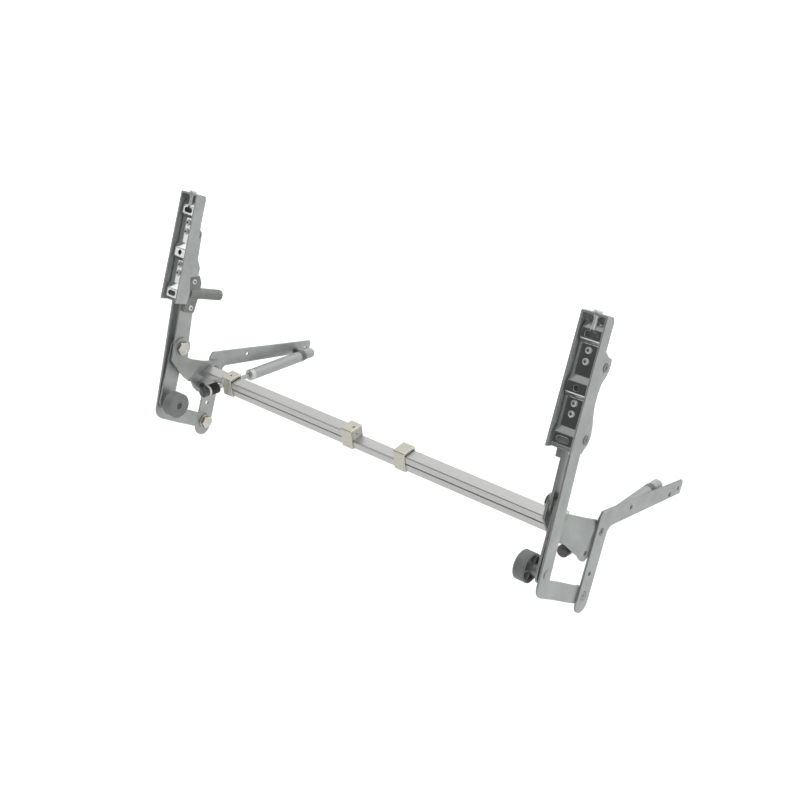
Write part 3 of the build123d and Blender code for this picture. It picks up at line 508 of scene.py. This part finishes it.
def knurled_collar(hand):
    """Radius less depth * max(1 - |sin((n * a + k * s) / 2)|, 1 - |sin((n * a - k * s) / 2)|) squared.

    n is the number of teeth round the collar, k * s the same pitch along it. Both rims stay plain,
    because the depth fades to nothing there over KNURL_FADE, and each rim has a small chamfer."""
    s = np.linspace(KNURL_START - KNURL_FADE, KNURL_END + KNURL_FADE, COLLAR_ROWS)[:, None]
    a = np.linspace(0, 2 * np.pi, COLLAR_TURNS, endpoint=False)
    teeth = round(2 * np.pi * COLLAR_RADIUS / KNURL_PITCH)
    k = 2 * np.pi / KNURL_PITCH
    grooves = [1 - np.abs(np.sin((teeth * a + sign * k * s) / 2)) for sign in (1, -1)]
    fade_in = np.clip((s - KNURL_START) / KNURL_FADE, 0, 1)
    fade_out = np.clip((KNURL_END - s) / KNURL_FADE, 0, 1)
    band = COLLAR_RADIUS - KNURL_DEPTH * fade_in * fade_out * np.maximum(*grooves) ** 2
    rim = np.array([COLLAR_BORE, COLLAR_RADIUS - CHAMFER_DEPTH, COLLAR_RADIUS - CHAMFER_REACH])
    rim = np.repeat(rim[:, None], COLLAR_TURNS, 1)
    front = COLLAR_START + np.array([0, 0, CHAMFER_REACH])
    rear = COLLAR_END - np.array([CHAMFER_REACH, 0, 0])
    return strut_ring(hand, np.concatenate([front, s[:, 0], rear]), np.concatenate([rim, band, rim[::-1]]),
                      COLLAR_TURNS)


for side, hand in SIDES:
    build(f"{side}_knurled_collar", [knurled_collar(hand)], f"{side}_strut_piston",
          (black_polymer,), (f"{side}_rod_socket",))

# %% [markdown]
# The tube's rear end is closed by a grey seal ring, and behind it sits the lighter tail. The ring has
# rounded rims, as a moulded seal has, so its profile follows a quarter circle at both edges.

# %% Seal rings at the tubes' rear ends
SEAL_START, SEAL_END = STRUT_SPAN - 0.0125, STRUT_SPAN - 0.0042
SEAL_RADIUS, SEAL_BORE, SEAL_RIM = 0.0075, 0.0055, 0.0008
bend = np.linspace(0, np.pi / 2, 7)
rise, fall = SEAL_RIM * (1 - np.cos(bend)), SEAL_RIM * (1 - np.sin(bend))
seal_along = np.concatenate([[SEAL_START], SEAL_START + rise, SEAL_END - fall, [SEAL_END]])
seal_radius = np.concatenate([[SEAL_BORE], SEAL_RADIUS - fall, SEAL_RADIUS - rise, [SEAL_BORE]])
for side, hand in SIDES:
    build(f"{side}_tube_seal_ring", [strut_ring(hand, seal_along, seal_radius)],
          f"{side}_strut_cylinder", (seal_polymer,))

# %% [markdown]
# The bar's upper left tube ends inside the second clip. A moulded plug closes it: a rounded rectangle
# with a shallow flange and a small hole for a tool. A superellipse gives that outline in one formula.

# %% Plug in the tube's free end
BAR_TILT = math.radians(28)
BAR_UP = np.array([0.0, -math.sin(BAR_TILT), math.cos(BAR_TILT)])
PLUG_TURNS = 96
PLUG_RISE, PLUG_CHAMFER, PLUG_RIM = 0.0056, 0.0002, 0.00005
PLUG_DEPTH, FLANGE_DEPTH, HOLE_DEPTH = 0.0100, 0.0002, 0.0030
PLUG_CORE, HOLE_CORE = 0.3, 0.2
PLUG_FACE_X, BAR_Y, BAR_Z = -0.0238, -0.018, 0.0422


def rounded_box(half_width, half_height, power=7):
    """Radius at angle a of (|cos a| / width) ** n + (|sin a| / height) ** n = 1, tilted with the bar."""
    a = np.linspace(0, 2 * np.pi, PLUG_TURNS, endpoint=False) - BAR_TILT
    across, upright = np.abs(np.cos(a)) / half_width, np.abs(np.sin(a)) / half_height
    return (across ** power + upright ** power) ** (-1 / power)


insert = rounded_box(0.0071, 0.0031)
flange = rounded_box(0.0084, 0.0055)
tool_hole = np.full(PLUG_TURNS, 0.0011)
plug_profile = (
    (-PLUG_DEPTH, insert * PLUG_CORE), (-PLUG_DEPTH, insert), (-FLANGE_DEPTH, insert),
    (-FLANGE_DEPTH, flange), (-PLUG_RIM, flange), (0.0, flange - PLUG_CHAMFER),
    (0.0, tool_hole + PLUG_CHAMFER), (-PLUG_CHAMFER, tool_hole),
    (-HOLE_DEPTH, tool_hole), (-HOLE_DEPTH, tool_hole * HOLE_CORE),
)
plug_along = [place for place, _ in plug_profile]
plug_radius = [radius for _, radius in plug_profile]
plug_face = np.array([PLUG_FACE_X, BAR_Y, BAR_Z]) + PLUG_RISE * BAR_UP
build("left_bar_end_plug", [turned(plug_face, (1, 0, 0), plug_along, plug_radius, PLUG_TURNS)],
      "lift_frame", (plug_polymer,))

# %% [markdown]
# Where the rod enters the tube, the tube is rolled in round a guide bushing. The bushing's face is a
# shallow step with a raised lip at the rod, and its outer rim is round, because the metal was rolled.

# %% Guide bushings at the tubes' front ends
GUIDE_FRONT, GUIDE_END, GUIDE_RADIUS, GUIDE_BORE = 0.0686, 0.0760, 0.0078, 0.0031
GUIDE_ROLL, STEP_DEPTH, LIP_HEIGHT = 0.0018, 0.0004, 0.0006
LIP_TOP, LIP_FOOT, STEP_FOOT, STEP_TOP = 0.0040, 0.0042, 0.0052, 0.0054
TUCK_LENGTH, TUCK_DEPTH = 0.0004, 0.0003
bend = np.linspace(0, np.pi / 2, 9)
lip, step = GUIDE_FRONT - LIP_HEIGHT, GUIDE_FRONT + STEP_DEPTH
guide_along = np.concatenate([[GUIDE_END, lip, lip, step, step, GUIDE_FRONT],
                              GUIDE_FRONT + GUIDE_ROLL * (1 - np.cos(bend)),
                              [GUIDE_END - TUCK_LENGTH, GUIDE_END]])
guide_radius = np.concatenate([[GUIDE_BORE, GUIDE_BORE, LIP_TOP, LIP_FOOT, STEP_FOOT, STEP_TOP],
                               GUIDE_RADIUS - GUIDE_ROLL * (1 - np.sin(bend)),
                               [GUIDE_RADIUS, GUIDE_RADIUS - TUCK_DEPTH]])
for side, hand in SIDES:
    build(f"{side}_guide_bushing", [strut_ring(hand, guide_along, guide_radius)],
          f"{side}_strut_cylinder", (guide_silver,))

# %% [markdown]
# The object hangs over a pale sweep that curves up behind it, as in a product photograph. The floor lies
# just under the place that the door mounts reach when the mechanism is closed, 238 mm down.

# %% Floor sweep
CLOSED_REACH = -0.2378
FLOOR_GAP = 0.002


def sweep_surface(depth, width, radius, height, floor_z, count=48):
    """Profile along Y: flat floor, a quarter circle of the radius, then a wall; carried along X."""
    bend = np.linspace(0, np.pi / 2, count)
    y = np.concatenate([[-depth], depth - radius + radius * np.sin(bend), [depth]])
    z = np.concatenate([[0.0], radius - radius * np.cos(bend), [height]]) + floor_z
    x = np.linspace(-width, width, 3)
    grid = np.stack([np.repeat(x, len(y)), np.tile(y, len(x)), np.tile(z, len(x))], 1)
    row = np.arange(len(y) - 1)
    column = np.arange(len(x) - 1)[:, None] * len(y)
    first = (row + column).ravel()
    return grid, np.stack([first, first + len(y), first + len(y) + 1, first + 1], 1)


points, quads = sweep_surface(depth=9.0, width=16.0, radius=2.5, height=9.0,
                              floor_z=min(cad_box[0][2], CLOSED_REACH) - FLOOR_GAP)
floor_mesh = bpy.data.meshes.new("sweep")
floor_mesh.from_pydata(points.tolist(), [], quads.tolist())
floor_mesh.polygons.foreach_set("use_smooth", np.ones(len(quads), bool))
floor = bpy.data.objects.new("sweep", floor_mesh)
scene.collection.objects.link(floor)
print("floor", len(quads), "faces at", round(float(points[:, 2].min()), 4), "m")

# %% [markdown]
# The sweep is white paper. Besides taking the lamps' light and the object's shadow, it glows where the
# camera, a mirror or clear plastic looks at it, more so far away, where the lamps are weak. That makes it
# white all over, and the glow itself lights nothing that is dull. In mirrors alone, a dark card seems to
# lie in front: satin steel needs something dark to mirror, or it would look like white paint.

# %% Paper of the sweep
GLOW_NEAR, GLOW_FAR = 0.42, 0.85
NEAR_REACH, FAR_REACH = 0.8, 5.0
CARD_SLOPE, CARD_HALF, CARD_FADE, CARD_DARK = 0.2, 0.5, 0.9, 0.95
CARD_EDGE, CARD_FULL = -0.5, -0.9

material, paper, output = blank_material("pale sweep")
place = add(paper, "ShaderNodeTexCoord").outputs["Object"]
ray = add(paper, "ShaderNodeLightPath").outputs
spot = add(paper, "ShaderNodeSeparateXYZ", None, {"Vector": place})
slope = add(paper, "ShaderNodeMath", None, {0: spot.outputs["X"], 1: spot.outputs["Y"]},
            operation="DIVIDE")
aside = add(paper, "ShaderNodeMath", {1: CARD_SLOPE}, {0: slope.outputs[0]}, operation="SUBTRACT")
spread = add(paper, "ShaderNodeMath", None, {0: aside.outputs[0]}, operation="ABSOLUTE")
sector = add(paper, "ShaderNodeMapRange",
             {"From Min": CARD_HALF, "From Max": CARD_FADE, "To Min": CARD_DARK, "To Max": 0.0},
             {"Value": spread.outputs[0]}, interpolation_type="SMOOTHSTEP")
front = add(paper, "ShaderNodeMapRange", {"From Min": CARD_EDGE, "From Max": CARD_FULL},
            {"Value": spot.outputs["Y"]}, interpolation_type="SMOOTHSTEP")
card = add(paper, "ShaderNodeMath", None, {0: sector.outputs[0], 1: front.outputs[0]},
           operation="MULTIPLY")
dim = add(paper, "ShaderNodeMath", None, {0: card.outputs[0], 1: ray["Is Glossy Ray"]},
          operation="MULTIPLY")
lit = add(paper, "ShaderNodeMath", {0: 1.0}, {1: dim.outputs[0]}, operation="SUBTRACT")
distance = add(paper, "ShaderNodeVectorMath", None, {0: place}, operation="LENGTH")
fade = add(paper, "ShaderNodeMapRange",
           {"From Min": NEAR_REACH, "From Max": FAR_REACH, "To Min": GLOW_NEAR, "To Max": GLOW_FAR},
           {"Value": distance.outputs["Value"]})
mirrored = add(paper, "ShaderNodeMath", None, {0: ray["Is Camera Ray"], 1: ray["Is Glossy Ray"]},
               operation="MAXIMUM")
shown = add(paper, "ShaderNodeMath", None, {0: mirrored.outputs[0], 1: ray["Is Transmission Ray"]},
            operation="MAXIMUM")
glow = add(paper, "ShaderNodeMath", None, {0: shown.outputs[0], 1: fade.outputs[0]},
           operation="MULTIPLY")
glow_left = add(paper, "ShaderNodeMath", None, {0: glow.outputs[0], 1: lit.outputs[0]},
                operation="MULTIPLY")
tone = add(paper, "ShaderNodeMix", {"A": linear("#000000"), "B": linear("#D9D9D9")},
           {"Factor": lit.outputs[0]}, data_type="RGBA")
shader = add(paper, "ShaderNodeBsdfPrincipled", {"Roughness": 0.9, "Emission Color": linear("#FFFFFF")},
             {"Base Color": tone.outputs["Result"], "Emission Strength": glow_left.outputs[0]})
paper.links.new(shader.outputs[0], output.inputs["Surface"])
floor_mesh.materials.append(material)
print("paper nodes", len(paper.nodes))

# %% [markdown]
# The surround is dim in front and brighter behind and above, so steel that faces the camera mirrors
# little light, and top faces mirror more. Where the camera looks at it directly, it is plain white.

# %% Surround
FRONT_LEVEL, BEHIND_LEVEL, ROOF_LEVEL, ROOF_FRONT_SHARE = 0.1, 0.8, 1.3, 0.4
BEHIND_START, BEHIND_FULL = -0.75, 0.25
ROOF_START, ROOF_FULL = 0.25, 0.75
LEAN_START, LEAN_FULL = -0.55, 0.1

world = bpy.data.worlds.new("surround")
scene.world = world
world.use_nodes = True
sky = world.node_tree
look = add(sky, "ShaderNodeTexCoord")
way = add(sky, "ShaderNodeSeparateXYZ", None, {"Vector": look.outputs["Generated"]}).outputs
behind = add(sky, "ShaderNodeMapRange",
             {"From Min": BEHIND_START, "From Max": BEHIND_FULL, "To Min": FRONT_LEVEL,
              "To Max": BEHIND_LEVEL},
             {"Value": way["Y"]}, interpolation_type="SMOOTHSTEP")
above = add(sky, "ShaderNodeMapRange",
            {"From Min": ROOF_START, "From Max": ROOF_FULL, "To Max": ROOF_LEVEL},
            {"Value": way["Z"]}, interpolation_type="SMOOTHSTEP")
tilted = add(sky, "ShaderNodeMapRange",
             {"From Min": LEAN_START, "From Max": LEAN_FULL, "To Min": ROOF_FRONT_SHARE},
             {"Value": way["Y"]}, interpolation_type="SMOOTHSTEP")
roof = add(sky, "ShaderNodeMath", None, {0: above.outputs[0], 1: tilted.outputs[0]},
           operation="MULTIPLY")
level = add(sky, "ShaderNodeMath", None, {0: behind.outputs[0], 1: roof.outputs[0]},
            operation="MAXIMUM")
ray = add(sky, "ShaderNodeLightPath").outputs
strength = add(sky, "ShaderNodeMath", None, {0: level.outputs[0], 1: ray["Is Camera Ray"]},
               operation="MAXIMUM")
sky.links.new(strength.outputs[0], sky.nodes["Background"].inputs["Strength"])
sky.nodes["Background"].inputs["Color"].default_value = linear("#FFFFFF")
print("surround", FRONT_LEVEL, "to", ROOF_LEVEL)

# %% [markdown]
# Four softboxes light the object: a large one above, one from the left, one from behind on the right,
# and one in front, behind the camera's place. They lift the top faces and leave the channels' insides in
# shade.

# %% Softboxes


def softbox(name, place, target, size, power):
    """A square area lamp: Z = (place - target) / length, X = level and square to Z, Y = Z cross X."""
    lamp = bpy.data.objects.new(name, bpy.data.lights.new(name, "AREA"))
    lamp.data.shape, lamp.data.size, lamp.data.energy = "SQUARE", size, power
    back = np.array(place, float) - np.array(target, float)
    back /= np.linalg.norm(back)
    level = np.cross([0, 0, 1.0], back)
    level /= np.linalg.norm(level)
    stand(lamp, level, np.cross(back, level), back, place)


softbox("top softbox", place=(0.5, -0.3, 2.0), target=(0, 0, 0.1), size=1.4, power=12)
softbox("left softbox", place=(-2.0, -0.9, 0.9), target=(0, 0, 0.1), size=1.2, power=6)
softbox("right softbox", place=(1.9, 0.6, 1.2), target=(0.3, 0, 0.1), size=1.0, power=5)
softbox("front fill", place=(1.1, -1.6, 0.8), target=(0.25, 0, 0.15), size=1.0, power=6)
